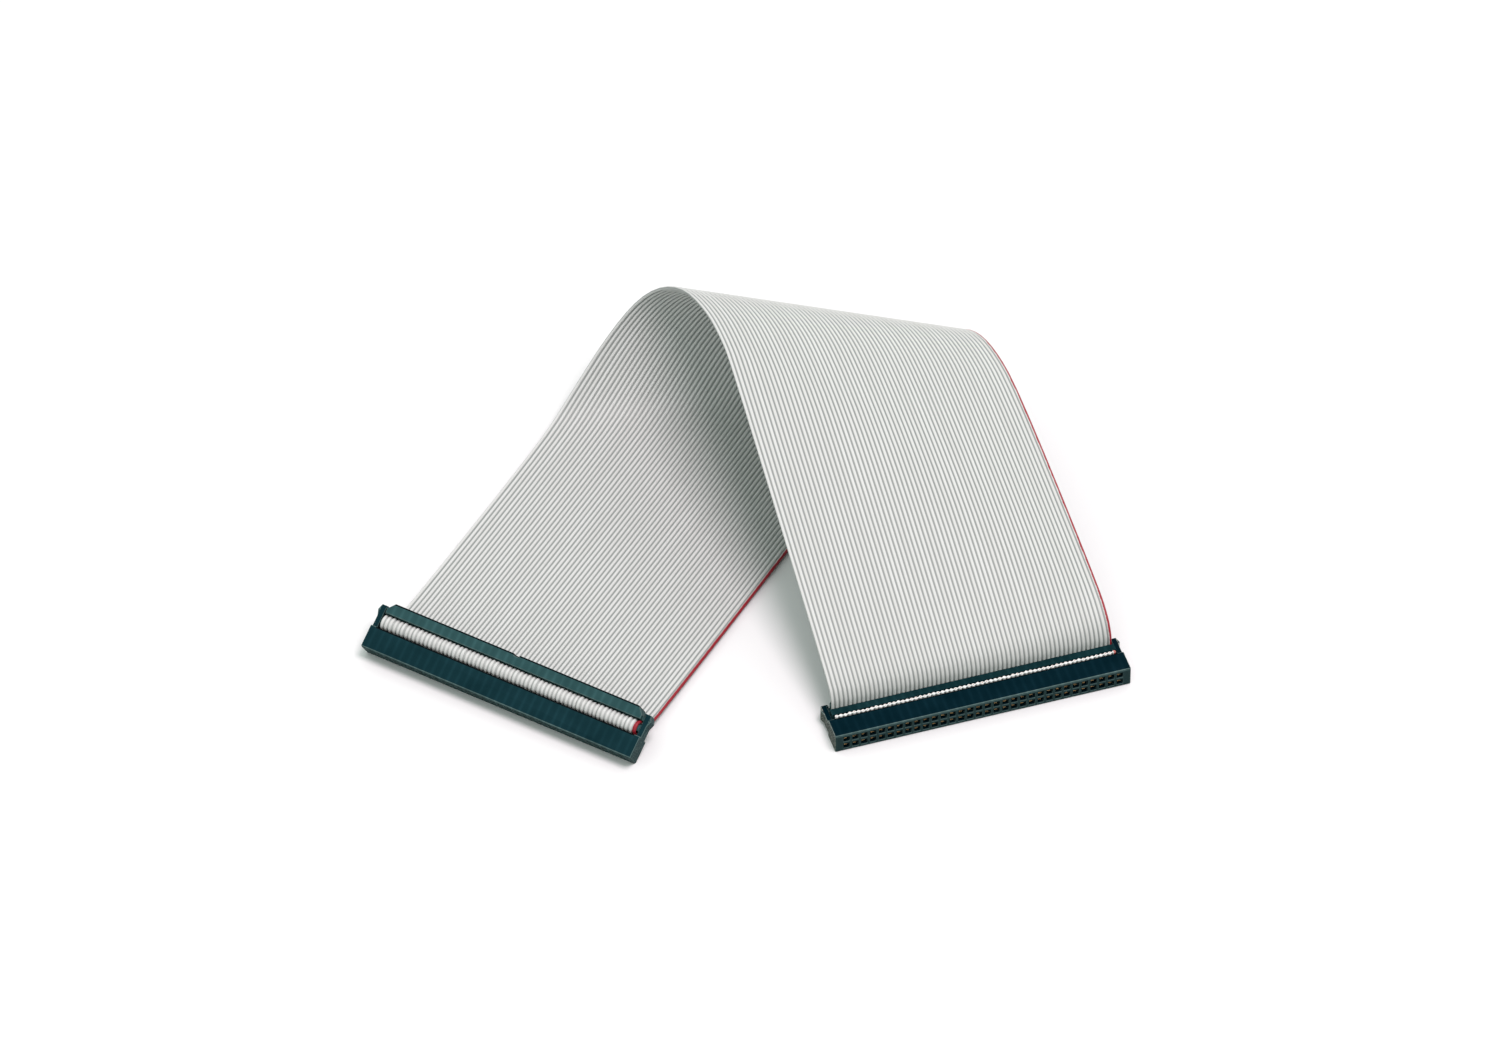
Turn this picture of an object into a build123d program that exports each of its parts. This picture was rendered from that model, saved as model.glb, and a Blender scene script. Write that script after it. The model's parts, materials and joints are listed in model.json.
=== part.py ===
"""A 64-way flat ribbon cable with a pressed-on socket at each end.

Millimetres, +Z up, the table at Z = 0. The cable lies as a loose loop: it leaves the left
socket along the table, turns back over itself and comes down into the right socket.
"""
import os
from math import atan2, cos, degrees, radians, sin

from build123d import *

# Flat cable
conductor_count = 64
conductor_pitch = 1.27
cable_thickness = 0.9
web_thickness = 0.4
free_length = 298.8

# Route of the free cable: each bend is a place along it, a turn and a skew across it, in degrees
left_yaw = -29.4
left_exit_pitch = -60.0
left_exit_turn = 59.58
loop_start_share = 0.377
loop_end_share = 0.67
loop_turns = (26.8, 30.4, 31.3, 38.1, 31.3, 17.8, 11.6)
loop_skews = (35.02, 35.52, 26, 22.1, 18.1, 16.1, 20.1)
dip_share = 0.797
dip_turn = 17.66
dip_skew = 47.2
left_bend_start = 2.0
left_bend_end = 6.0
right_bend_start = 3.0
right_bend_end = 8.0

# Socket
ways_per_row = 32
row_count = 2
pin_pitch = 2.54
pocket_side = 1.8
body_width = 6.1
body_height = 6.7
body_end_margin = 1.96
mating_edge_chamfer = 0.3
cover_thickness = 2.6
relief_thickness = 3.3
seat_clearance = 0.05

# Fold of the cable round the cover, in straight facets
fold_count = 3
fold_inset = 0.1

# End posts of the body, which hold the cover and the strain relief
post_clearance = 0.45
post_width = 3.6
post_drop = 1.2
nib_reach = 0.6
nib_height = 0.7
ear_flare = 0.6
ear_flare_height = 3.4

# Strain relief bar
relief_end_chamfer = 1.8
tongue_thickness = 1.3
tongue_width = 2.6
tongue_clearance = 0.15
relief_notch_width = 1.6
relief_notch_depth = 0.6

# Contacts: one tapered blade in each pocket
contact_thickness = 0.35
contact_foot_width = 1.3
contact_tip_width = 0.7
contact_recess = 1.0

# Worked out from the sizes above
cable_width = conductor_count * conductor_pitch
half_width = cable_width / 2
body_length = ways_per_row * pin_pitch + 2 * body_end_margin
lower_layer = body_height + seat_clearance + cable_thickness / 2
cover_bottom = lower_layer + cable_thickness / 2 + seat_clearance
cover_top = cover_bottom + cover_thickness
upper_layer = cover_top + seat_clearance + cable_thickness / 2
relief_bottom = upper_layer + cable_thickness / 2 + seat_clearance
relief_top = relief_bottom + relief_thickness
layer_step = upper_layer - lower_layer
fold_turn = 180 / fold_count
fold_side = layer_step / sum(sin(radians(fold_turn * step)) for step in range(1, fold_count))
fold_bulge = fold_side * sum(cos(radians(fold_turn * step)) for step in range(1, fold_count // 2 + 1))
fold_skin = cable_thickness / 2 / cos(radians(fold_turn / 2))
fold_line = -body_width / 2 + fold_inset + fold_skin + fold_bulge
layer_run = body_width / 2 - fold_line
post_inner = half_width + post_clearance
post_outer = body_length / 2
post_top = relief_top - post_drop


def cable_profile(stretch, thickening):
    """Corners of the ribbed section: a crest over each conductor, a web between neighbours."""
    crest = cable_thickness / 2 * thickening
    web = web_thickness / 2 * thickening
    top = [(-half_width * stretch, web)]
    for index in range(conductor_count):
        left = -half_width + index * conductor_pitch
        top.append(((left + conductor_pitch / 2) * stretch, crest))
        top.append(((left + conductor_pitch) * stretch, web))
    bottom = [(across, -height) for across, height in reversed(top)]
    return top + bottom


class Sheet:
    """A flat strip that is folded step by step, keeping its length along every conductor."""

    def __init__(self, start, along, across):
        self.origin = start
        self.along = along
        self.across = across
        self.up = across.cross(along)
        self.stations = [self.section(0, 0, 0)]

    def point(self, distance, offset):
        return self.origin + self.along * distance + self.across * offset

    def section(self, distance, turn, skew):
        """The mitred cut across the strip at a bend: its plane, stretch and thickening."""
        lean = radians(skew)
        ruling = self.along * sin(lean) + self.across * cos(lean)
        forward = self.along * cos(lean) - self.across * sin(lean)
        facing = forward.rotate(Axis((0, 0, 0), ruling), turn / 2)
        plane = Plane(self.point(distance, 0), x_dir=ruling, z_dir=facing)
        return plane, 1 / cos(lean), 1 / cos(radians(turn / 2))

    def bend(self, distance, turn, skew=0):
        self.stations.append(self.section(distance, turn, skew))
        lean = radians(skew)
        hinge = Axis(self.point(distance, 0), self.along * sin(lean) + self.across * cos(lean))
        turning = Axis((0, 0, 0), hinge.direction)
        pivot = hinge.position
        self.origin = pivot + (self.origin - pivot).rotate(turning, turn)
        self.along = self.along.rotate(turning, turn)
        self.across = self.across.rotate(turning, turn)
        self.up = self.across.cross(self.along)

    def finish(self, distance):
        self.stations.append(self.section(distance, 0, 0))


def lay_cable():
    """Fold the strip from the left cut end to the right one, and place both sockets on it."""
    yaw = radians(left_yaw)
    pitch = radians(left_exit_pitch)
    across = Vector(cos(yaw), sin(yaw), 0)
    ahead = Vector(-sin(yaw), cos(yaw), 0)
    leaving = ahead * cos(pitch) + Vector(0, 0, 1) * sin(pitch)
    up = across.cross(leaving)
    # The left socket stands on the chamfer of its mating face, on the side where the cable leaves
    exit_point = Vector(0, 0, (upper_layer - mating_edge_chamfer) * cos(pitch))
    left_frame = Plane(exit_point - up * upper_layer - leaving * (body_width / 2), x_dir=across, z_dir=up)

    # From the cut end under the cover, round its fold side and back over it
    cut_point = exit_point - up * layer_step
    strip = Sheet(cut_point, -leaving, across)
    for step in range(fold_count):
        strip.bend(layer_run + step * fold_side, -fold_turn)
    left_exit = 2 * layer_run + (fold_count - 1) * fold_side

    strip.bend(left_exit + left_bend_start, left_exit_turn / 2)
    strip.bend(left_exit + left_bend_end, left_exit_turn / 2)
    last = len(loop_turns) - 1
    for index, (turn, skew) in enumerate(zip(loop_turns, loop_skews)):
        share = loop_start_share + (loop_end_share - loop_start_share) * index / last
        strip.bend(left_exit + share * free_length, turn, skew)
    strip.bend(left_exit + dip_share * free_length, dip_turn, dip_skew)

    # The last bend brings the cable upright, so that the right socket lies flat on its side
    plumb_turn = degrees(atan2(-strip.up.Z, -strip.along.Z))
    right_exit = left_exit + free_length
    strip.bend(right_exit - right_bend_end, plumb_turn / 2)
    strip.bend(right_exit - right_bend_start, plumb_turn / 2)
    right_point = strip.point(right_exit, 0)
    right_origin = right_point - strip.up * upper_layer + strip.along * (body_width / 2)
    right_frame = Plane(right_origin, x_dir=-strip.across, z_dir=strip.up)
    for step in range(fold_count):
        strip.bend(right_exit + layer_run + step * fold_side, -fold_turn)
    strip.finish(right_exit + 2 * layer_run + (fold_count - 1) * fold_side)
    return strip, left_frame, right_frame


def make_cable(strip):
    with BuildPart() as cable:
        for plane, stretch, thickening in strip.stations:
            with BuildSketch(plane):
                with BuildLine():
                    Polyline(*cable_profile(stretch, thickening), close=True)
                make_face()
        loft(ruled=True)
    return cable.part


def make_body(frame):
    """The moulded body: two rows of square pockets, and an end post at each end."""
    upright = Plane(frame.origin, x_dir=frame.x_dir, z_dir=-frame.y_dir)
    with BuildPart() as body:
        with BuildSketch(frame):
            Rectangle(body_length, body_width)
        extrude(amount=body_height)
        mating_face = body.faces().sort_by(Axis(frame.origin, frame.z_dir))[0]
        chamfer(mating_face.edges(), mating_edge_chamfer)
        with BuildSketch(upright):
            with BuildLine():
                Polyline(
                    (post_inner, body_height),
                    (post_inner, post_top - nib_height),
                    (post_inner - nib_reach, post_top - nib_height),
                    (post_inner - nib_reach / 2, post_top),
                    (post_outer, post_top),
                    (post_outer + ear_flare, post_top - ear_flare_height / 2),
                    (post_outer, post_top - ear_flare_height),
                    (post_outer, body_height),
                    close=True,
                )
            make_face()
            mirror(about=Plane.YZ)
        extrude(amount=post_width / 2, both=True)
        with BuildSketch(frame):
            with GridLocations(pin_pitch, pin_pitch, ways_per_row, row_count):
                Rectangle(pocket_side, pocket_side)
        extrude(amount=body_height, mode=Mode.SUBTRACT)
    return body.part


def make_cover(frame):
    """The bar that presses the cable on to the contacts, with a round nose that the cable folds over."""
    crosswise = Plane(frame.origin, x_dir=frame.y_dir, z_dir=frame.x_dir)
    length = 2 * (post_inner - tongue_clearance)
    nose_radius = cover_thickness / 2
    middle = cover_bottom + nose_radius
    # The nose fits inside the folded facets, clear of the cable's inner skin
    inner_skin = fold_line - fold_bulge + fold_skin
    facet_lean = radians(fold_turn / 2)
    nose_centre = inner_skin + (nose_radius + seat_clearance) / cos(facet_lean)
    with BuildPart() as cover:
        with BuildSketch(crosswise):
            with BuildLine():
                Polyline(
                    (nose_centre, cover_bottom),
                    (body_width / 2, cover_bottom),
                    (body_width / 2, cover_top),
                    (nose_centre, cover_top),
                )
                ThreePointArc(
                    (nose_centre, cover_top),
                    (nose_centre - nose_radius, middle),
                    (nose_centre, cover_bottom),
                )
            make_face()
        extrude(amount=length / 2, both=True)
    return cover.part


def make_relief(frame):
    """The clip over the upper layer: a bar with sloping ends, and tongues caught under the posts' nibs."""
    upright = Plane(frame.origin, x_dir=frame.x_dir, z_dir=-frame.y_dir)
    bar_end = post_inner - nib_reach - tongue_clearance
    tongue_end = post_inner - tongue_clearance
    with BuildPart() as relief:
        with BuildSketch(upright):
            with BuildLine():
                Polyline(
                    (-bar_end, relief_bottom),
                    (bar_end, relief_bottom),
                    (bar_end, relief_bottom + tongue_thickness),
                    (bar_end - relief_end_chamfer, relief_top),
                    (relief_notch_width / 2, relief_top),
                    (relief_notch_width / 2, relief_top - relief_notch_depth),
                    (-relief_notch_width / 2, relief_top - relief_notch_depth),
                    (-relief_notch_width / 2, relief_top),
                    (-bar_end + relief_end_chamfer, relief_top),
                    (-bar_end, relief_bottom + tongue_thickness),
                    close=True,
                )
            make_face()
        extrude(amount=body_width / 2, both=True)
        with BuildSketch(frame.offset(relief_bottom)):
            Rectangle(2 * tongue_end, tongue_width)
        extrude(amount=tongue_thickness)
    return relief.part


def make_contacts(frame, row):
    """One row of contacts: blades that stand in the pockets and reach up to the cable."""
    row_place = (row - (row_count - 1) / 2) * pin_pitch
    crosswise = Plane(frame.origin + frame.y_dir * row_place, x_dir=frame.x_dir, z_dir=-frame.y_dir)
    with BuildPart() as contacts:
        with BuildSketch(crosswise):
            with GridLocations(pin_pitch, 0, ways_per_row, 1):
                Polygon(
                    (-contact_foot_width / 2, contact_recess),
                    (contact_foot_width / 2, contact_recess),
                    (contact_tip_width / 2, body_height),
                    (-contact_tip_width / 2, body_height),
                    align=None,
                )
        extrude(amount=contact_thickness / 2, both=True)
    return contacts.part


strip, left_frame, right_frame = lay_cable()
pieces = {"flat_cable": make_cable(strip)}
for side, frame in (("left", left_frame), ("right", right_frame)):
    pieces[f"{side}_socket_body"] = make_body(frame)
    pieces[f"{side}_cover"] = make_cover(frame)
    pieces[f"{side}_strain_relief"] = make_relief(frame)
    for row in range(row_count):
        pieces[f"{side}_contacts_row_{row + 1}"] = make_contacts(frame, row)

# The origin goes under the middle of the whole cable, on the table
box = Compound(children=[Compound(piece.wrapped) for piece in pieces.values()]).bounding_box()
to_origin = Location((-box.center().X, -box.center().Y, -box.min.Z))
os.makedirs("parts", exist_ok=True)
for name, piece in pieces.items():
    placed = piece.moved(to_origin)
    placed.label = name
    export_step(placed, f"parts/{name}.step")
print("size", box.size, "moved by", to_origin.position)
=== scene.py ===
import json
import math

import bpy
import numpy as np
from mathutils import Matrix, Vector


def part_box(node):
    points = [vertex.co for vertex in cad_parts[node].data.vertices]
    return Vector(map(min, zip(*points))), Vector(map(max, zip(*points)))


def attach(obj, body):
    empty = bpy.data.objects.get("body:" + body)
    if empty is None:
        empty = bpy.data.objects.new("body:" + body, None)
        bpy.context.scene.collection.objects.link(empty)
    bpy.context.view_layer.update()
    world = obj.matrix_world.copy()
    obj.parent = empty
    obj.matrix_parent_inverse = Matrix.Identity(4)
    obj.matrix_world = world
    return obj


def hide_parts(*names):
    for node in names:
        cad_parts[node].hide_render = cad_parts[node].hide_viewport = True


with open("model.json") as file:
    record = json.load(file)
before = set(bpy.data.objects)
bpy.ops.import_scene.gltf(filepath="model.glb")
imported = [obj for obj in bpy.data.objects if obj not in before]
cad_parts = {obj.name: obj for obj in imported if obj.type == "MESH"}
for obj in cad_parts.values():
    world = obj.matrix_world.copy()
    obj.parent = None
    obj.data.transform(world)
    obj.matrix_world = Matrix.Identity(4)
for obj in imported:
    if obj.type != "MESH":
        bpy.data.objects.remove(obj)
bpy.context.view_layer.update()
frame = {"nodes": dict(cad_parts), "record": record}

mm = 0.001
upward = 0.9  # a face whose normal rises by more than this is an upper cap
sides = ("left", "right")
mounts = {mount["name"]: mount for mount in frame["record"]["mounts"]}


# Small helpers

def deselectAll():
    if bpy.context.object and bpy.context.object.mode != "OBJECT":
        bpy.ops.object.mode_set(mode="OBJECT")
    bpy.ops.object.select_all(action="DESELECT")


def makeActive(piece):
    deselectAll()
    piece.select_set(True)
    bpy.context.view_layer.objects.active = piece


def joinPieces(name, pieces):
    deselectAll()
    for piece in pieces:
        piece.select_set(True)
    bpy.context.view_layer.objects.active = pieces[0]
    bpy.ops.object.join()
    joined = bpy.context.object
    joined.name = name
    joined.data.name = name
    return joined


def meshPiece(name, points, faces):
    mesh = bpy.data.meshes.new(name)
    mesh.from_pydata(points, [], faces)
    mesh.update()
    piece = bpy.data.objects.new(name, mesh)
    bpy.context.scene.collection.objects.link(piece)
    return piece


def insetTop(piece, thickness, depth, shift=(0, 0, 0)):
    # draws the upper cap in, lifts or sinks it, and moves it aside
    for face in piece.data.polygons:
        face.select = face.normal.z > upward
    bpy.ops.object.mode_set(mode="EDIT")
    bpy.ops.mesh.select_mode(type="FACE")
    bpy.ops.mesh.inset(thickness=thickness, depth=depth)
    if any(shift):
        bpy.ops.transform.translate(value=shift)
    bpy.ops.object.mode_set(mode="OBJECT")


def socketFrame(side):
    # x along the socket, y the way the cable leaves, z away from the mating face
    mount = mounts[side + "_mating_face"]
    zDir = -Vector(mount["axis"]).normalized()
    ahead = Vector((zDir.x, zDir.y, 0)).normalized()
    xDir = Vector((ahead.y, -ahead.x, 0))
    if side == "right":
        xDir = -xDir
    yDir = zDir.cross(xDir)
    turn = Matrix((xDir, yDir, zDir)).transposed().to_4x4()
    return Matrix.Translation(mount["pos_m"]) @ turn


# Camera, as the photo was taken: from far off, looking down on the loop

shot = {
    "target": (1.21 * mm, 15.97 * mm, 0.0),
    "distance": 3.663,
    "elevation": 46.7,
    "fieldWidth": 416.6 * mm,  # width of the picture at the target
    "sensor": 36.0,
}


def addCamera():
    camData = bpy.data.cameras.new("photoCamera")
    camData.sensor_width = shot["sensor"]
    camData.lens = shot["sensor"] * shot["distance"] / shot["fieldWidth"]
    camera = bpy.data.objects.new("photoCamera", camData)
    rise = math.radians(shot["elevation"])
    back = Vector((0, -math.cos(rise), math.sin(rise))) * shot["distance"]
    camera.location = Vector(shot["target"]) + back
    camera.rotation_euler = (math.pi / 2 - rise, 0, 0)
    bpy.context.scene.collection.objects.link(camera)
    bpy.context.scene.camera = camera


addCamera()
print("camera placed")


# Route of the flat cable: a flat strip bent along straight, skewed lines

cable = {
    "conductors": 64,
    "pitch": 1.27 * mm,
    "thickness": 0.9 * mm,
    "web": 0.26 * mm,
    "freeLength": 298.8 * mm,
}
halfWidth = cable["conductors"] * cable["pitch"] / 2

route = {
    "leftExitTurn": 59.58,
    "loopShares": (0.377, 0.67),
    "loopTurns": (26.8, 30.4, 31.3, 38.1, 31.3, 17.8, 11.6),
    "loopSkews": (35.02, 35.52, 26, 22.1, 18.1, 16.1, 20.1),
    "dip": (0.797, 17.66, 47.2),  # share, turn, skew
    "leftBends": (2 * mm, 6 * mm),
    "rightBends": (8 * mm, 3 * mm),
    "stepsPerBend": 4,
    "splineOrder": 3,
}

fold = {
    "upperLayer": 10.8 * mm,  # middle of the folded-back layer above the mating face
    "layerStep": 3.6 * mm,
    "side": 2.0785 * mm,
    "run": 4.441 * mm,
    "turn": -60.0,
    "count": 3,
    "bodyWidth": 6.1 * mm,
}


class Strip:
    # carries a straight strip forward; each bend turns what follows about a skewed line

    def __init__(self, start, along, across):
        self.origin = start
        self.along = along
        self.across = across
        self.greyEdge = []
        self.redEdge = []

    def mark(self, distance, skew=0.0):
        lean = math.radians(skew)
        ruling = self.along * math.sin(lean) + self.across * math.cos(lean)
        middle = self.origin + self.along * distance
        reach = halfWidth / math.cos(lean)
        self.greyEdge.append(middle - ruling * reach)
        self.redEdge.append(middle + ruling * reach)
        return middle, ruling

    def bend(self, distance, turn, skew=0.0):
        middle, ruling = self.mark(distance, skew)
        spin = Matrix.Rotation(math.radians(turn), 3, ruling)
        self.origin = middle + spin @ (self.origin - middle)
        self.along = spin @ self.along
        self.across = spin @ self.across

    @property
    def up(self):
        return self.across.cross(self.along)


def layRoute():
    left = socketFrame("left").to_3x3()
    corner = Vector(mounts["left_mating_face"]["pos_m"])
    across, leaving, up = left.col[0], left.col[1], left.col[2]
    exitPoint = corner + up * fold["upperLayer"] + leaving * (fold["bodyWidth"] / 2)
    strip = Strip(exitPoint - up * fold["layerStep"], -leaving, across)

    def goRound(start):
        # a mark on each side keeps the flat layers flat up to the fold
        last = start + (fold["count"] - 1) * fold["side"]
        strip.mark(start - fold["side"])
        for step in range(fold["count"]):
            strip.bend(start + step * fold["side"], fold["turn"])
        strip.mark(last + fold["side"])
        return last + fold["run"]

    strip.mark(0)
    leftExit = goRound(fold["run"])
    strip.mark(leftExit)
    for place in route["leftBends"]:
        strip.bend(leftExit + place, route["leftExitTurn"] / 2)
    first, last = route["loopShares"]
    count = len(route["loopTurns"])
    for index, (turn, skew) in enumerate(zip(route["loopTurns"], route["loopSkews"])):
        share = first + (last - first) * index / (count - 1)
        strip.bend(leftExit + share * cable["freeLength"], turn, skew)
    dipShare, dipTurn, dipSkew = route["dip"]
    strip.bend(leftExit + dipShare * cable["freeLength"], dipTurn, dipSkew)
    plumb = math.degrees(math.atan2(-strip.up.z, -strip.along.z))
    rightExit = leftExit + cable["freeLength"]
    for place in route["rightBends"]:
        strip.bend(rightExit - place, plumb / 2)
    strip.mark(rightExit)
    cutEnd = goRound(rightExit + fold["run"])
    strip.mark(cutEnd)
    return strip


def edgeLine(name, points):
    # one edge of the ribbon as a smooth spline, pulled round the bend lines' ends
    data = bpy.data.curves.new(name, "CURVE")
    data.dimensions = "3D"
    data.resolution_u = route["stepsPerBend"]
    spline = data.splines.new("NURBS")
    spline.points.add(len(points) - 1)
    for slot, point in zip(spline.points, points):
        slot.co = (*point, 1)
    spline.order_u = route["splineOrder"]
    spline.use_endpoint_u = True
    line = bpy.data.objects.new(name, data)
    bpy.context.scene.collection.objects.link(line)
    bpy.context.view_layer.update()
    evaluated = line.evaluated_get(bpy.context.evaluated_depsgraph_get())
    traced = bpy.data.meshes.new_from_object(evaluated)
    places = np.array([vertex.co[:] for vertex in traced.vertices])
    bpy.data.meshes.remove(traced)
    bpy.data.objects.remove(line)
    bpy.data.curves.remove(data)
    return places


strip = layRoute()
greyLine = edgeLine("greyEdge", strip.greyEdge)
redLine = edgeLine("redEdge", strip.redEdge)
print("route laid, rows", len(greyLine), len(redLine))


# Ribbed ribbon over the two edge lines

ribShape = {
    "angles": (45, 70, 90, 110, 135),  # round the top of one rib, between its two webs
    "edgeAngle": 8,                    # how far the two outer ribs go round
    "foldProud": 0.5 * mm,             # the first fold swells out of its socket
    "foldSpread": 0.25 * mm,           # and every rib of it bulges differently
    "foldReach": 3.4 * mm,
    "foldFlat": 4,                     # power of the swelling's shape, higher is boxier
    "cutProud": 0.42 * mm,             # the cut ends stand a little out of the socket
    "cutSpread": 0.30 * mm,            # and are cut off unevenly
    "cutReach": 1.6 * mm,
    "smoothAngle": 50,
    "seed": 11,
}


def ribbonSection():
    # offsets across the ribbon from 0 to 1, half the thickness there, and the rib's number
    radius = cable["thickness"] / 2
    webAngle = math.degrees(math.asin(cable["web"] / 2 / radius))
    places, heights, ribs = [], [], []
    for rib in range(cable["conductors"]):
        angles = [webAngle, *ribShape["angles"], 180 - webAngle]
        if rib == 0:
            angles.insert(0, ribShape["edgeAngle"])
        if rib == cable["conductors"] - 1:
            angles.append(180 - ribShape["edgeAngle"])
        for angle in angles:
            aside = -radius * math.cos(math.radians(angle))
            places.append((rib + 0.5 + aside / cable["pitch"]) / cable["conductors"])
            heights.append(radius * math.sin(math.radians(angle)))
            ribs.append(rib)
    return np.array(places), np.array(heights), np.array(ribs)


def buildRibbon():
    across, half, ribs = ribbonSection()
    rows, columns = len(greyLine), len(across)
    weight = across[None, :, None]
    middle = greyLine[:, None, :] * (1 - weight) + redLine[:, None, :] * weight
    along = np.gradient(middle, axis=0)
    along /= np.linalg.norm(along, axis=2, keepdims=True)
    wide = (redLine - greyLine)[:, None, :] + np.zeros_like(middle)
    up = np.cross(wide, along)
    up /= np.linalg.norm(up, axis=2, keepdims=True)
    run = np.linalg.norm(np.diff(middle[:, columns // 2], axis=0), axis=1)
    length = np.concatenate([[0], np.cumsum(run)])

    # hand-folded and hand-cut: every rib its own way
    dice = np.random.default_rng(ribShape["seed"])
    count = cable["conductors"]
    bulge = dice.uniform(-1, 1, count)[ribs] * ribShape["foldSpread"] + ribShape["foldProud"]
    firstCut = dice.uniform(0, 1, count)[ribs] * ribShape["cutSpread"] - ribShape["cutProud"]
    lastCut = dice.uniform(0, 1, count)[ribs] * ribShape["cutSpread"] - ribShape["cutProud"]
    outward = -np.array(socketFrame("left").to_3x3().col[1])
    firstRows = rows // 3  # the left socket's fold is among these
    foldMiddle = length[np.argmax((middle[:, columns // 2] @ outward)[:firstRows])]
    fromFold = (length - foldMiddle) / ribShape["foldReach"]
    inFold = np.clip(1 - fromFold ** ribShape["foldFlat"], 0, 1)
    middle = middle + inFold[:, None, None] * bulge[None, :, None] * outward
    atStart = np.clip(1 - length / ribShape["cutReach"], 0, 1)
    atEnd = np.clip(1 - (length[-1] - length) / ribShape["cutReach"], 0, 1)
    trim = atStart[:, None] * firstCut - atEnd[:, None] * lastCut
    middle = middle + trim[:, :, None] * along

    top = middle + up * half[None, :, None]
    bottom = middle - up * half[None, :, None]
    points = np.concatenate([top.reshape(-1, 3), bottom.reshape(-1, 3)])
    under = rows * columns
    faces = []
    for row in range(rows - 1):
        for column in range(columns - 1):
            here = row * columns + column
            there = here + columns
            faces.append((here, here + 1, there + 1, there))
            faces.append((under + here, under + there, under + there + 1, under + here + 1))
        first, last = row * columns, row * columns + columns - 1
        faces.append((first, first + columns, under + first + columns, under + first))
        faces.append((last, under + last, under + last + columns, last + columns))
    for column in range(columns - 1):
        end = (rows - 1) * columns + column
        faces.append((column, under + column, under + column + 1, column + 1))
        faces.append((end, end + 1, under + end + 1, under + end))
    piece = meshPiece("flatCable", points.tolist(), faces)
    # u counts across the ribs, v runs along the cable in metres
    u = np.tile(across, rows)
    v = np.repeat(length, columns)
    uv = np.stack([np.concatenate([u, u]), np.concatenate([v, v])], axis=1)
    corners = np.zeros(len(piece.data.loops), dtype=np.int32)
    piece.data.loops.foreach_get("vertex_index", corners)
    layer = piece.data.uv_layers.new(name="ribs")
    layer.data.foreach_set("uv", uv[corners].ravel())
    # where each conductor comes to the surface at the two cut ends
    crest = half == half.max()
    cuts = [(middle[0, crest], -along[0, crest], up[0, crest]),
            (middle[-1, crest], along[-1, crest], up[-1, crest])]
    return piece, length[-1], cuts


flatCable, cutLength, cutEnds = buildRibbon()
makeActive(flatCable)
bpy.ops.object.shade_smooth_by_angle(angle=math.radians(ribShape["smoothAngle"]))
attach(flatCable, "root")
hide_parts("flat_cable")
print("ribbon built, cut length", round(cutLength, 4), "faces", len(flatCable.data.polygons))


# Copper strands that show at the cut ends, seven to a conductor

strands = {
    "radius": 0.055 * mm,
    "ring": 6,   # strands round the middle one
    "facets": 6,
    "length": 0.5 * mm,
    "proud": (-0.05 * mm, 0.07 * mm),  # how far they stand out of the insulation
    "tipInset": 0.016 * mm,
    "tipRise": 0.012 * mm,
    "seed": 5,
}


def strandBundle():
    made = []
    spots = [(0.0, 0.0)]
    apart = 2 * strands["radius"]
    for turn in range(strands["ring"]):
        angle = math.radians(360 * turn / strands["ring"])
        spots.append((apart * math.cos(angle), apart * math.sin(angle)))
    for x, y in spots:
        deselectAll()
        bpy.ops.mesh.primitive_cylinder_add(
            vertices=strands["facets"], radius=strands["radius"], depth=strands["length"],
            location=(x, y, -strands["length"] / 2))
        strand = bpy.context.object
        bpy.ops.object.transform_apply(location=True, rotation=True, scale=True)
        insetTop(strand, strands["tipInset"], strands["tipRise"])  # the snipped tip
        made.append(strand)
    return joinPieces("strandBundle", made)


def copperEnds():
    bundle = strandBundle()
    dice = np.random.default_rng(strands["seed"])
    copies = []
    for middles, outs, ups in cutEnds:
        for middle, out, up in zip(middles, outs, ups):
            zDir, yDir = Vector(out).normalized(), Vector(up).normalized()
            place = Matrix((yDir.cross(zDir), yDir, zDir)).transposed().to_4x4()
            place.translation = Vector(middle) + zDir * dice.uniform(*strands["proud"])
            spin = Matrix.Rotation(dice.uniform(0, 2 * math.pi / strands["ring"]), 4, "Z")
            copy = bpy.data.objects.new("strandCopy", bundle.data.copy())
            copy.data.transform(place @ spin)
            bpy.context.scene.collection.objects.link(copy)
            copies.append(copy)
    bpy.data.objects.remove(bundle)
    return joinPieces("copperEnds", copies)


copperPiece = copperEnds()
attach(copperPiece, "root")
print("copper ends set", len(copperPiece.data.polygons))


# Twin-leaf contacts in the pockets: a pin goes in between two sprung leaves

contact = {
    "pitch": 2.54 * mm,
    "perRow": 32,
    "leafWidth": 0.9 * mm,
    "sheet": 0.14 * mm,
    "merge": 0.001 * mm,
    # the bent strip from the foot to one flared tip:
    # distance from the pin's middle, depth below the mating face
    "leaf": ((0.0, 5.1 * mm), (0.3 * mm, 5.1 * mm), (0.46 * mm, 4.8 * mm), (0.40 * mm, 3.3 * mm),
             (0.22 * mm, 2.2 * mm), (0.26 * mm, 1.6 * mm), (0.56 * mm, 0.9 * mm)),
    # half of the fork for the cable; tip is a share of the thickness, lean of the width
    "tine": {"width": 0.45 * mm, "thickness": 0.3 * mm, "apart": 0.7 * mm, "length": 1.6 * mm,
             "tip": 0.35, "lean": 1 / 6},
}


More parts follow.
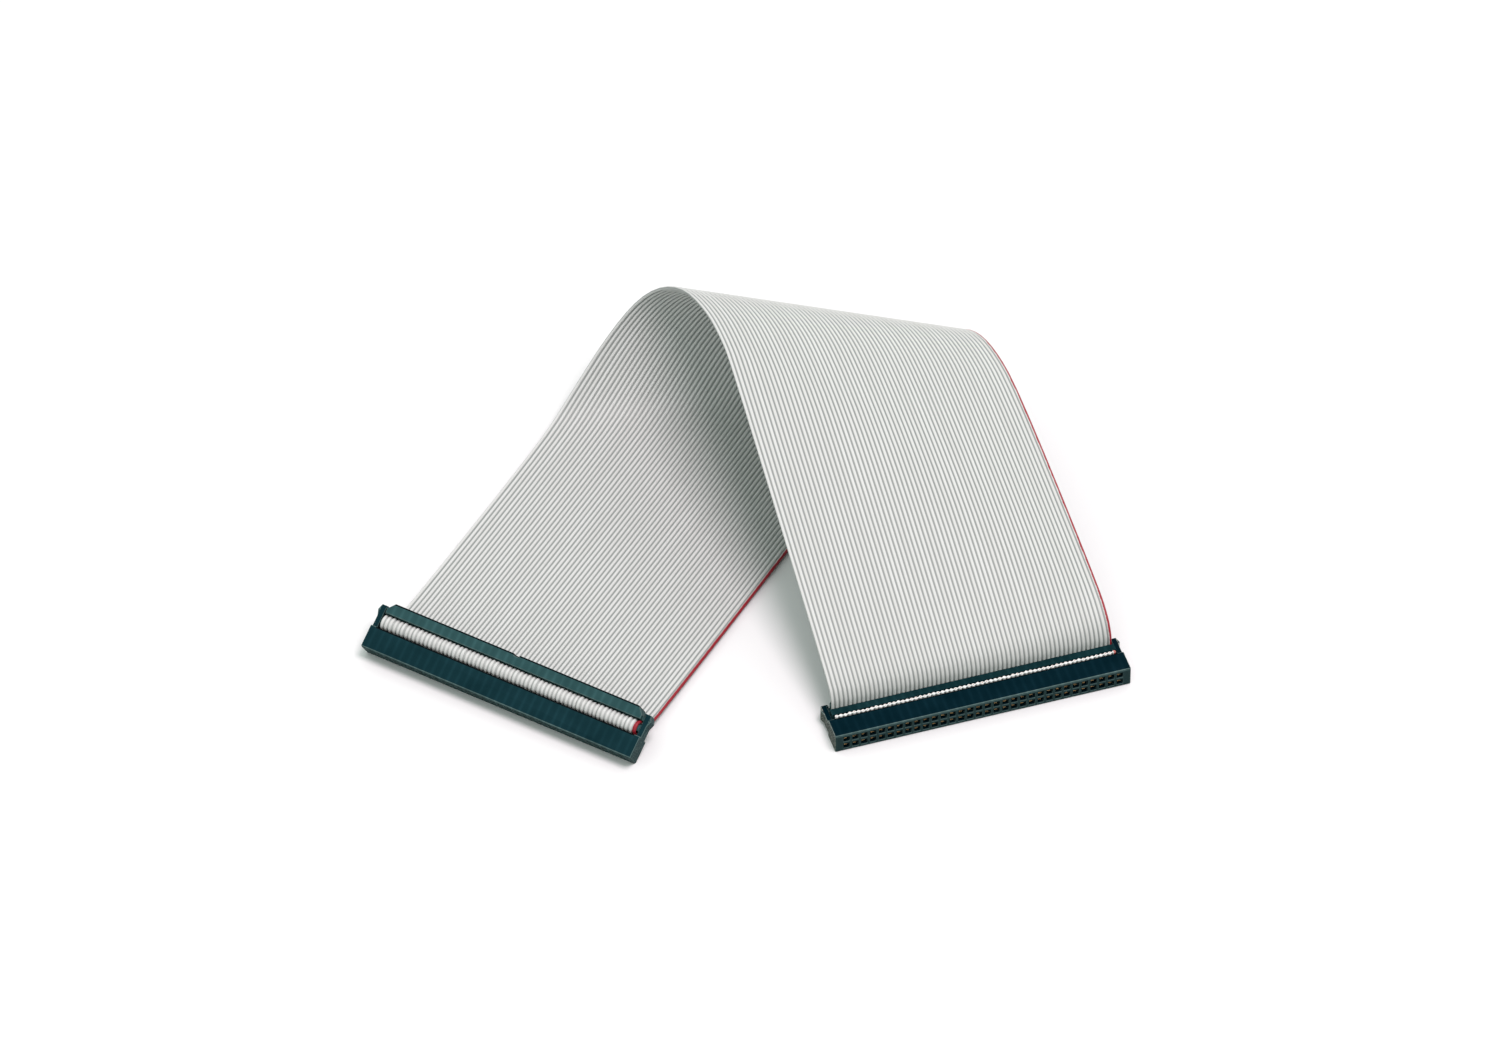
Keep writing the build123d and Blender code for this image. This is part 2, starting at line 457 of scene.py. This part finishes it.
def springLeaf():
    # one edge of a plane, drawn out along the bent profile, then mirrored for the other leaf
    deselectAll()
    bpy.ops.mesh.primitive_plane_add(size=contact["leafWidth"], location=(0, 0, 0))
    leaf = bpy.context.object
    for vertex in leaf.data.vertices:
        vertex.select = vertex.co.y < 0
    for edge in leaf.data.edges:
        edge.select = all(leaf.data.vertices[corner].co.y < 0 for corner in edge.vertices)
    for face in leaf.data.polygons:
        face.select = False
    bpy.ops.object.mode_set(mode="EDIT")
    bpy.ops.mesh.select_mode(type="VERT")
    bpy.ops.mesh.delete(type="VERT")
    bpy.ops.mesh.select_all(action="SELECT")
    y, z = contact["leafWidth"] / 2, 0.0
    for index, (toY, toZ) in enumerate(contact["leaf"]):
        step = (0, toY - y, toZ - z)
        if index == 0:
            bpy.ops.transform.translate(value=step)
        else:
            bpy.ops.mesh.extrude_edges_move(TRANSFORM_OT_translate={"value": step})
        y, z = toY, toZ
    bpy.ops.object.mode_set(mode="OBJECT")
    mirror = leaf.modifiers.new("otherLeaf", "MIRROR")
    mirror.use_axis = (False, True, False)
    mirror.merge_threshold = contact["merge"]
    thick = leaf.modifiers.new("sheet", "SOLIDIFY")
    thick.thickness = contact["sheet"]
    thick.offset = 0
    for modifier in ("otherLeaf", "sheet"):
        bpy.ops.object.modifier_apply(modifier=modifier)
    bpy.ops.object.mode_set(mode="EDIT")
    bpy.ops.mesh.select_all(action="SELECT")
    bpy.ops.mesh.normals_make_consistent(inside=False)
    bpy.ops.object.mode_set(mode="OBJECT")
    return leaf


def cableTine(side):
    # its top is drawn in to a point
    tine = contact["tine"]
    foot = contact["leaf"][0][1]
    deselectAll()
    bpy.ops.mesh.primitive_cube_add(
        size=1, location=(side * tine["apart"] / 2, 0, foot + tine["length"] / 2),
        scale=(tine["width"], tine["thickness"], tine["length"]))
    bpy.ops.object.transform_apply(location=True, rotation=True, scale=True)
    piece = bpy.context.object
    lean = side * tine["width"] * tine["lean"]
    insetTop(piece, tine["thickness"] * tine["tip"], 0, (lean, 0, 0))
    return piece


def contactRows():
    one = joinPieces("oneContact", [springLeaf(), cableTine(-1), cableTine(1)])
    rows = []
    for side in sides:
        place = socketFrame(side)
        for row in ("_contacts_row_1", "_contacts_row_2"):
            low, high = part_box(side + row)
            middle = place.inverted() @ ((Vector(low) + Vector(high)) / 2)
            y = math.copysign(contact["pitch"] / 2, middle.y)
            copies = []
            for column in range(contact["perRow"]):
                x = (column - (contact["perRow"] - 1) / 2) * contact["pitch"]
                copy = bpy.data.objects.new("contactCopy", one.data.copy())
                copy.data.transform(place @ Matrix.Translation((x, y, 0)))
                bpy.context.scene.collection.objects.link(copy)
                copies.append(copy)
            piece = joinPieces(side + "Contacts" + row[-1], copies)
            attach(piece, "root")
            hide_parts(side + row)
            rows.append(piece)
    bpy.data.objects.remove(one)
    return rows


contactPieces = contactRows()
print("contacts set", len(contactPieces), "rows of", len(contactPieces[0].data.polygons), "faces")


# A near-black block in the notch of each strain relief, as painted shade in the notch

notchShadeBlock = {
    "width": 1.6 * mm,
    "depth": 3.4 * mm,
    "floor": 13.9 * mm,   # above the mating face, a little into the notch's floor
    "height": 0.52 * mm,
    "tipInset": 0.3 * mm,
    "tipDrop": -0.12 * mm,
}


def addNotchShadeBlock(side):
    deselectAll()
    middle = notchShadeBlock["floor"] + notchShadeBlock["height"] / 2
    bpy.ops.mesh.primitive_cube_add(
        size=1, location=(0, 0, middle),
        scale=(notchShadeBlock["width"], notchShadeBlock["depth"], notchShadeBlock["height"]))
    bpy.ops.object.transform_apply(location=True, rotation=True, scale=True)
    piece = bpy.context.object
    insetTop(piece, notchShadeBlock["tipInset"], notchShadeBlock["tipDrop"])
    piece.name = piece.data.name = side + "NotchShadeBlock"
    piece.data.transform(socketFrame(side))
    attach(piece, "root")
    return piece


notchShadeBlocks = {side: addNotchShadeBlock(side) for side in sides}
print("notch shade blocks set")


# Shader pieces shared by the materials

def newMaterial(name):
    material = bpy.data.materials.new(name)
    material.use_nodes = True
    nodes = material.node_tree.nodes
    shader = nodes["Principled BSDF"]
    return material, nodes, material.node_tree.links, shader


def newGroup(name, inputs, outputs):
    group = bpy.data.node_groups.new(name, "ShaderNodeTree")
    for label, kind, value in inputs:
        socket = group.interface.new_socket(name=label, in_out="INPUT", socket_type=kind)
        if value is not None:
            socket.default_value = value
    for label, kind in outputs:
        group.interface.new_socket(name=label, in_out="OUTPUT", socket_type=kind)
    nodes = group.nodes
    return group, nodes, group.links, nodes.new("NodeGroupInput"), nodes.new("NodeGroupOutput")


def feed(links, socket, value):
    if isinstance(value, bpy.types.NodeSocket):
        links.new(value, socket)
    else:
        socket.default_value = value


def mathNode(nodes, links, operation, *values):
    node = nodes.new("ShaderNodeMath")
    node.operation = operation
    for socket, value in zip(node.inputs, values):
        feed(links, socket, value)
    return node.outputs["Value"]


def rangeNode(nodes, links, value, low, high, toLow, toHigh, smooth=False):
    node = nodes.new("ShaderNodeMapRange")
    if smooth:
        node.interpolation_type = "SMOOTHSTEP"
    feed(links, node.inputs["Value"], value)
    ends = {"From Min": low, "From Max": high, "To Min": toLow, "To Max": toHigh}
    for label, number in ends.items():
        feed(links, node.inputs[label], number)
    return node.outputs["Result"]


def mixColour(nodes, links, share, first, second):
    # its sockets share their names with the float and vector ones, so they go by number
    colourA, colourB, colourOut = 6, 7, 2
    node = nodes.new("ShaderNodeMix")
    node.data_type = "RGBA"
    feed(links, node.inputs["Factor"], share)
    feed(links, node.inputs[colourA], first)
    feed(links, node.inputs[colourB], second)
    return node.outputs[colourOut]


def noiseNode(nodes, links, vector, scale, detail):
    node = nodes.new("ShaderNodeTexNoise")
    links.new(vector, node.inputs["Vector"])
    feed(links, node.inputs["Scale"], scale)
    node.inputs["Detail"].default_value = detail
    return node.outputs["Fac"]


def placeGroup(nodes, group, links, **values):
    node = nodes.new("ShaderNodeGroup")
    node.node_tree = group
    for label, value in values.items():
        feed(links, node.inputs[label], value)
    return node


def bumpNode(nodes, links, height, strength, distance, shader):
    bump = nodes.new("ShaderNodeBump")
    bump.inputs["Strength"].default_value = strength
    bump.inputs["Distance"].default_value = distance
    links.new(height, bump.inputs["Height"])
    links.new(bump.outputs["Normal"], shader.inputs["Normal"])


grainShape = {
    "cloudScale": 150.0, "cloudDetail": 3, "cloudRange": (0.3, 0.7),
    "toothScale": 3000.0, "toothDetail": 2, "toothRange": (0.25, 0.75),
}


def grainGroup():
    # cloudy tone and fine tooth, for any finish
    group, nodes, links, inward, outward = newGroup(
        "surfaceGrain",
        [("Vector", "NodeSocketVector", None),
         ("Cloud Scale", "NodeSocketFloat", grainShape["cloudScale"]),
         ("Tooth Scale", "NodeSocketFloat", grainShape["toothScale"])],
        [("Cloud", "NodeSocketFloat"), ("Tooth", "NodeSocketFloat")])
    vector = inward.outputs["Vector"]
    cloud = noiseNode(nodes, links, vector, inward.outputs["Cloud Scale"], grainShape["cloudDetail"])
    tooth = noiseNode(nodes, links, vector, inward.outputs["Tooth Scale"], grainShape["toothDetail"])
    cloudOut = rangeNode(nodes, links, cloud, *grainShape["cloudRange"], 0, 1)
    toothOut = rangeNode(nodes, links, tooth, *grainShape["toothRange"], 0, 1)
    links.new(cloudOut, outward.inputs["Cloud"])
    links.new(toothOut, outward.inputs["Tooth"])
    return group


surfaceGrain = grainGroup()


# Grey vinyl of the cable, with one red edge

vinyl = {
    "grey": (0.76, 0.765, 0.75, 1),
    "cloudGrey": (0.70, 0.70, 0.68, 1),
    # painted shade in the grooves between the ribs
    "grooveShade": (0.29, 0.31, 0.30, 1),
    "cutGrey": (0.90, 0.90, 0.88, 1),
    "red": (0.33, 0.014, 0.026, 1),
    "cutRed": (0.60, 0.20, 0.18, 1),
    "redShare": 0.66,              # of the last rib
    "foldEnd": (11, 16),           # millimetres along the cable where the first fold is over
    "foldGrooveShade": 0.6,             # the grooves open up in the fold and catch more light, so they get less painted shade
    "grooveFrom": 0.27,            # where the painted groove shade starts: distance from the crest, in pitches
    "grooveTo": 0.37,
    "cutDepth": 0.25 * mm,
    "drawOut": 0.12,               # the grain is stretched along the cable
    "cloudScale": 0.35,
    "toothScale": 5.0,
    "toneShare": 0.5,              # of the rib's own tone and of the clouds
    "inkWander": 0.06,
    "rough": (0.40, 0.54),
    "specular": 0.4,
    "bump": (0.25, 0.03 * mm),     # strength and distance
}


def vinylMaterial():
    material, nodes, links, shader = newMaterial("greyVinyl")
    uv = nodes.new("ShaderNodeUVMap")
    uv.uv_map = "ribs"
    split = nodes.new("ShaderNodeSeparateXYZ")
    links.new(uv.outputs["UV"], split.inputs["Vector"])
    ribs = mathNode(nodes, links, "MULTIPLY", split.outputs["X"], cable["conductors"])
    number = mathNode(nodes, links, "FLOOR", ribs)
    aside = mathNode(nodes, links, "ABSOLUTE",
                     mathNode(nodes, links, "SUBTRACT", mathNode(nodes, links, "FRACT", ribs), 0.5))
    grooveShadeMask = rangeNode(nodes, links, aside, vinyl["grooveFrom"], vinyl["grooveTo"], 0, 1, True)
    along = mathNode(nodes, links, "MULTIPLY", split.outputs["Y"], 1 / mm)
    # drawn out along the cable, as the extruder leaves it
    drawn = nodes.new("ShaderNodeCombineXYZ")
    links.new(ribs, drawn.inputs["X"])
    links.new(mathNode(nodes, links, "MULTIPLY", along, vinyl["drawOut"]), drawn.inputs["Y"])
    grain = placeGroup(nodes, surfaceGrain, links, Vector=drawn.outputs["Vector"],
                       **{"Cloud Scale": vinyl["cloudScale"], "Tooth Scale": vinyl["toothScale"]})
    tone = nodes.new("ShaderNodeTexWhiteNoise")
    tone.noise_dimensions = "1D"
    links.new(number, tone.inputs["W"])
    bothTones = mathNode(nodes, links, "ADD", tone.outputs["Value"], grain.outputs["Cloud"])
    ribTone = mathNode(nodes, links, "MULTIPLY", bothTones, vinyl["toneShare"])
    grey = mixColour(nodes, links, ribTone, vinyl["grey"], vinyl["cloudGrey"])
    cutStart = mathNode(nodes, links, "LESS_THAN", split.outputs["Y"], vinyl["cutDepth"])
    cutStop = mathNode(nodes, links, "GREATER_THAN", split.outputs["Y"], cutLength - vinyl["cutDepth"])
    cut = mathNode(nodes, links, "MAXIMUM", cutStart, cutStop)
    pastFold = rangeNode(nodes, links, along, *vinyl["foldEnd"], 0, 1)
    grooveShadeShare = rangeNode(nodes, links, pastFold, 0, 1, vinyl["foldGrooveShade"], 1)
    # painted shade: the grooves between the ribs darkened, less so in the first fold
    grooveShadeAmount = mathNode(nodes, links, "MULTIPLY", grooveShadeMask, grooveShadeShare)
    withGrooveShade = mixColour(nodes, links, grooveShadeAmount, grey, vinyl["grooveShade"])
    greyAll = mixColour(nodes, links, cut, withGrooveShade, vinyl["cutGrey"])
    # the red ink takes in the whole last rib in the first fold, and less of it further on
    inkShare = rangeNode(nodes, links, pastFold, 0, 1, 1.0, vinyl["redShare"])
    inkEdge = mathNode(nodes, links, "SUBTRACT", float(cable["conductors"]), inkShare)
    wander = rangeNode(nodes, links, grain.outputs["Tooth"], 0, 1,
                       -vinyl["inkWander"], vinyl["inkWander"])
    red = mathNode(nodes, links, "GREATER_THAN", mathNode(nodes, links, "ADD", ribs, wander), inkEdge)
    redAll = mixColour(nodes, links, cut, vinyl["red"], vinyl["cutRed"])
    links.new(mixColour(nodes, links, red, greyAll, redAll), shader.inputs["Base Color"])
    links.new(rangeNode(nodes, links, grain.outputs["Tooth"], 0, 1, *vinyl["rough"]),
              shader.inputs["Roughness"])
    shader.inputs["Specular IOR Level"].default_value = vinyl["specular"]
    bumpNode(nodes, links, grain.outputs["Tooth"], *vinyl["bump"], shader)
    return material


# Moulded plastic of the sockets, laid out in each socket's own directions

plastic = {
    # one plastic for both sockets; the left socket's tints are painted lighter and the right one's
    # darker, as painted light and shade
    "bodyTintAndLight": {"left": (0.0030, 0.0245, 0.0315, 1), "right": (0.0004, 0.0105, 0.0165, 1)},
    "coverTintAndLight": {"left": (0.0210, 0.0650, 0.0680, 1), "right": (0.0040, 0.0230, 0.0270, 1)},
    # near black: painted shade in the notch of the strain relief
    "notchShadeTint": (0.0012, 0.0060, 0.0080, 1),
    "edgeHighlightTint": (0.070, 0.115, 0.112, 1),  # painted highlight on the bevelled edges
    "faceLightTint": (0.042, 0.082, 0.085, 1),  # painted light on the mating face, broken up by the fine grain
    # rough where the strip was broken off; the right socket's far paler end is a painted highlight as
    # well
    "endTintAndLight": {"left": (0.085, 0.145, 0.140, 1), "right": (0.42, 0.44, 0.39, 1)},
    "gapShadeTint": (0.0008, 0.0035, 0.0050, 1),
    "shadeLineLevels": (6.5 * mm, 7.9 * mm, 14.38 * mm),  # heights above the mating face of the lines of painted shade between the parts
    "gapReach": 0.2 * mm,
    "gapEnd": 40.9 * mm,           # the lines stop short of the socket's ends
    "faceDepth": 0.1 * mm,
    "faceLightBreakup": (0.55, 1),
    "halfLength": 42.6 * mm,
    "endDepth": 0.12 * mm,
    "tornScale": 2600.0, "tornDetail": 3, "tornRange": (0.42, 0.68), "tornShare": (0.12, 0.95),
    # shallow sink marks over the walls between the contacts
    "markStep": 2.54 * mm, "markSharp": 3.0, "markFade": (0.4, 1),
    "markShare": 0.5, "cloudShare": 0.4, "lighterValue": 1.9, "lighterSaturation": 0.92,
    "cloudScale": 160.0, "toothScale": 3500.0,
    "rough": (0.42, 0.62),
    "toothHeight": 0.25, "tornHeight": 0.8,
    "bump": (0.5, 0.05 * mm),      # strength and distance
    "specular": {"left": 0.05, "right": 0.015},
}


def skinGroup():
    group, nodes, links, inward, outward = newGroup(
        "mouldedSkin",
        [("Vector", "NodeSocketVector", None), ("Tint", "NodeSocketColor", None),
         ("Torn End And Light", "NodeSocketColor", None)],
        [("Colour", "NodeSocketColor"), ("Roughness", "NodeSocketFloat"), ("Height", "NodeSocketFloat")])
    split = nodes.new("ShaderNodeSeparateXYZ")
    links.new(inward.outputs["Vector"], split.inputs["Vector"])
    grain = placeGroup(nodes, surfaceGrain, links, Vector=inward.outputs["Vector"],
                       **{"Cloud Scale": plastic["cloudScale"], "Tooth Scale": plastic["toothScale"]})
    cloud, tooth = grain.outputs["Cloud"], grain.outputs["Tooth"]
    phase = mathNode(nodes, links, "MULTIPLY", split.outputs["X"], 2 * math.pi / plastic["markStep"])
    wave = rangeNode(nodes, links, mathNode(nodes, links, "COSINE", phase), -1, 1, 0, 1)
    mark = mathNode(nodes, links, "MULTIPLY",
                    mathNode(nodes, links, "POWER", wave, plastic["markSharp"]),
                    rangeNode(nodes, links, cloud, 0, 1, *plastic["markFade"]))
    tone = mathNode(nodes, links, "ADD",
                    mathNode(nodes, links, "MULTIPLY", mark, plastic["markShare"]),
                    mathNode(nodes, links, "MULTIPLY", cloud, plastic["cloudShare"]))
    lighter = nodes.new("ShaderNodeHueSaturation")
    lighter.inputs["Value"].default_value = plastic["lighterValue"]
    lighter.inputs["Saturation"].default_value = plastic["lighterSaturation"]
    links.new(inward.outputs["Tint"], lighter.inputs["Color"])
    skin = mixColour(nodes, links, tone, inward.outputs["Tint"], lighter.outputs["Color"])
    # painted light: the mating face made lighter, patchy with the fine grain
    face = mathNode(nodes, links, "LESS_THAN", split.outputs["Z"], plastic["faceDepth"])
    faceLight = mathNode(nodes, links, "MULTIPLY", face,
                       rangeNode(nodes, links, tooth, 0, 1, *plastic["faceLightBreakup"]))
    skin = mixColour(nodes, links, faceLight, skin, plastic["faceLightTint"])
    farOut = mathNode(nodes, links, "ABSOLUTE", split.outputs["X"])
    end = mathNode(nodes, links, "GREATER_THAN", farOut, plastic["halfLength"] - plastic["endDepth"])
    torn = noiseNode(nodes, links, inward.outputs["Vector"], plastic["tornScale"], plastic["tornDetail"])
    rough = mathNode(nodes, links, "MULTIPLY", end,
                     rangeNode(nodes, links, torn, *plastic["tornRange"], *plastic["tornShare"]))
    # the ends take the rough broken-off tint, which on the right socket also holds a painted highlight
    ended = mixColour(nodes, links, rough, skin, inward.outputs["Torn End And Light"])
    # painted shade: dark lines where one moulding meets the next, for the shade in the gaps
    gapShadeMask = None
    for level in plastic["shadeLineLevels"]:
        line = mathNode(nodes, links, "COMPARE", split.outputs["Z"], level, plastic["gapReach"])
        gapShadeMask = line if gapShadeMask is None else mathNode(nodes, links, "MAXIMUM", gapShadeMask, line)
    inside = mathNode(nodes, links, "LESS_THAN", farOut, plastic["gapEnd"])
    gapShadeMask = mathNode(nodes, links, "MULTIPLY", gapShadeMask, inside)
    links.new(mixColour(nodes, links, gapShadeMask, ended, plastic["gapShadeTint"]), outward.inputs["Colour"])
    links.new(rangeNode(nodes, links, tooth, 0, 1, *plastic["rough"]), outward.inputs["Roughness"])
    toothHeight = mathNode(nodes, links, "MULTIPLY", tooth, plastic["toothHeight"])
    tornHeight = mathNode(nodes, links, "MULTIPLY", rough, plastic["tornHeight"])
    height = mathNode(nodes, links, "ADD", toothHeight,
                      mathNode(nodes, links, "SUBTRACT", tornHeight, mark))
    links.new(height, outward.inputs["Height"])
    return group


mouldedSkin = skinGroup()


def plasticMaterial(name, side, tint):
    material, nodes, links, shader = newMaterial(name)
    coordinates = nodes.new("ShaderNodeTexCoord")
    mapping = nodes.new("ShaderNodeMapping")
    mapping.vector_type = "TEXTURE"
    place = socketFrame(side)
    mapping.inputs["Location"].default_value = place.translation
    mapping.inputs["Rotation"].default_value = place.to_euler()
    links.new(coordinates.outputs["Object"], mapping.inputs["Vector"])
    skin = placeGroup(nodes, mouldedSkin, links, Vector=mapping.outputs["Vector"], Tint=tint,
                      **{"Torn End And Light": plastic["endTintAndLight"][side]})
    links.new(skin.outputs["Colour"], shader.inputs["Base Color"])
    links.new(skin.outputs["Roughness"], shader.inputs["Roughness"])
    shader.inputs["Specular IOR Level"].default_value = plastic["specular"][side]
    bumpNode(nodes, links, skin.outputs["Height"], *plastic["bump"], shader)
    return material


# Contact bronze and bare copper

metals = {
    "cloudScale": 900.0,
    "toothScale": 9000.0,
    "bump": (0.2, 0.01 * mm),      # strength and distance
    "bronze": {"tint": (0.66, 0.54, 0.36, 1), "dull": (0.44, 0.33, 0.19, 1), "rough": (0.28, 0.45)},
    "copper": {"tint": (0.72, 0.38, 0.22, 1), "dull": (0.42, 0.19, 0.10, 1), "rough": (0.30, 0.5)},
}


def metalMaterial(name, metal):
    material, nodes, links, shader = newMaterial(name)
    coordinates = nodes.new("ShaderNodeTexCoord")
    grain = placeGroup(nodes, surfaceGrain, links, Vector=coordinates.outputs["Object"],
                       **{"Cloud Scale": metals["cloudScale"], "Tooth Scale": metals["toothScale"]})
    links.new(mixColour(nodes, links, grain.outputs["Cloud"], metal["tint"], metal["dull"]),
              shader.inputs["Base Color"])
    links.new(rangeNode(nodes, links, grain.outputs["Tooth"], 0, 1, *metal["rough"]),
              shader.inputs["Roughness"])
    shader.inputs["Metallic"].default_value = 1.0
    bumpNode(nodes, links, grain.outputs["Tooth"], *metals["bump"], shader)
    return material


def giveMaterial(piece, material):
    piece.data.materials.clear()
    piece.data.materials.append(material)


giveMaterial(flatCable, vinylMaterial())
giveMaterial(copperPiece, metalMaterial("bareCopper", metals["copper"]))
contactBronze = metalMaterial("contactBronze", metals["bronze"])
for side in sides:
    # per-side tints: painted light on the left socket, painted shade on the right
    bodySkin = plasticMaterial(side + "BodyPlastic", side, plastic["bodyTintAndLight"][side])
    coverSkin = plasticMaterial(side + "CoverPlastic", side, plastic["coverTintAndLight"][side])
    edgeHighlightSkin = plasticMaterial(side + "EdgeHighlightPlastic", side, plastic["edgeHighlightTint"])
    for part, skin in (("_socket_body", bodySkin), ("_cover", coverSkin), ("_strain_relief", coverSkin)):
        giveMaterial(frame["nodes"][side + part], skin)
        # second slot: the painted highlight on the bevelled edges
        frame["nodes"][side + part].data.materials.append(edgeHighlightSkin)
    # near-black block: painted shade in the notch
    giveMaterial(notchShadeBlocks[side], plasticMaterial(side + "NotchShadePlastic", side, plastic["notchShadeTint"]))
for piece in contactPieces:
    giveMaterial(piece, contactBronze)
print("materials set")


# Softened moulding edges on the sockets

softEdge = {"width": 0.17 * mm, "segments": 2, "angle": 40.0, "weld": 0.002 * mm}


def softenEdges(node):
    weld = node.modifiers.new("closeSeams", "WELD")
    weld.merge_threshold = softEdge["weld"]
    bevel = node.modifiers.new("softEdge", "BEVEL")
    bevel.width = softEdge["width"]
    bevel.segments = softEdge["segments"]
    bevel.limit_method = "ANGLE"
    bevel.angle_limit = math.radians(softEdge["angle"])
    # the bevel faces take the second slot: the painted edge highlight
    bevel.material = 1


for side in sides:
    for part in ("_socket_body", "_cover", "_strain_relief"):
        softenEdges(frame["nodes"][side + part])
print("edges softened")


# Floor and light

studio = {
    "floorSize": 6.0,
    "floorPale": (0.97, 0.97, 0.97, 1),
    "floorBounce": (0.04, 0.04, 0.04, 1),  # what it throws back on the object
    "floorRough": 0.9,
    "worldStrength": 0.70,
    "worldTint": (0.94, 1.05, 1.0, 1),  # a cool fill, which shows under the loop
    "worldSeen": (1, 1, 1, 1),
    "key": {"place": (0.39, -0.39, 1.86), "size": 0.9, "power": 19.3, "tint": (1.09, 0.93, 1.0)},
}


def seenDirectly(nodes, links):
    # rays that show the stage itself: straight, in a reflection or through glass
    rays = nodes.new("ShaderNodeLightPath")
    seen = mathNode(nodes, links, "MAXIMUM",
                    rays.outputs["Is Camera Ray"], rays.outputs["Is Glossy Ray"])
    return mathNode(nodes, links, "MAXIMUM", seen, rays.outputs["Is Transmission Ray"])


def addFloor():
    deselectAll()
    bpy.ops.mesh.primitive_plane_add(size=studio["floorSize"], location=(0, 0, 0))
    floor = bpy.context.object
    floor.name = "paleFloor"
    material, nodes, links, shader = newMaterial("paleFloor")
    seen = seenDirectly(nodes, links)
    links.new(mixColour(nodes, links, seen, studio["floorBounce"], studio["floorPale"]),
              shader.inputs["Base Color"])
    shader.inputs["Roughness"].default_value = studio["floorRough"]
    shader.inputs["Specular IOR Level"].default_value = 0.0
    giveMaterial(floor, material)


def addLight(name, light):
    data = bpy.data.lights.new(name, "AREA")
    data.shape = "DISK"
    data.size = light["size"]
    data.energy = light["power"]
    data.color = light["tint"]
    lamp = bpy.data.objects.new(name, data)
    lamp.location = light["place"]
    lamp.rotation_euler = (-Vector(light["place"])).to_track_quat("-Z", "Y").to_euler()
    bpy.context.scene.collection.objects.link(lamp)


def setWorld():
    world = bpy.data.worlds.new("paleStudio")
    bpy.context.scene.world = world
    world.use_nodes = True
    nodes, links = world.node_tree.nodes, world.node_tree.links
    background = nodes["Background"]
    seen = seenDirectly(nodes, links)
    links.new(mixColour(nodes, links, seen, studio["worldTint"], studio["worldSeen"]),
              background.inputs["Color"])
    links.new(rangeNode(nodes, links, seen, 0, 1, studio["worldStrength"], 1.0),
              background.inputs["Strength"])


addFloor()
addLight("keySoftbox", studio["key"])
setWorld()
bpy.context.scene.view_settings.view_transform = "Standard"
print("stage set")
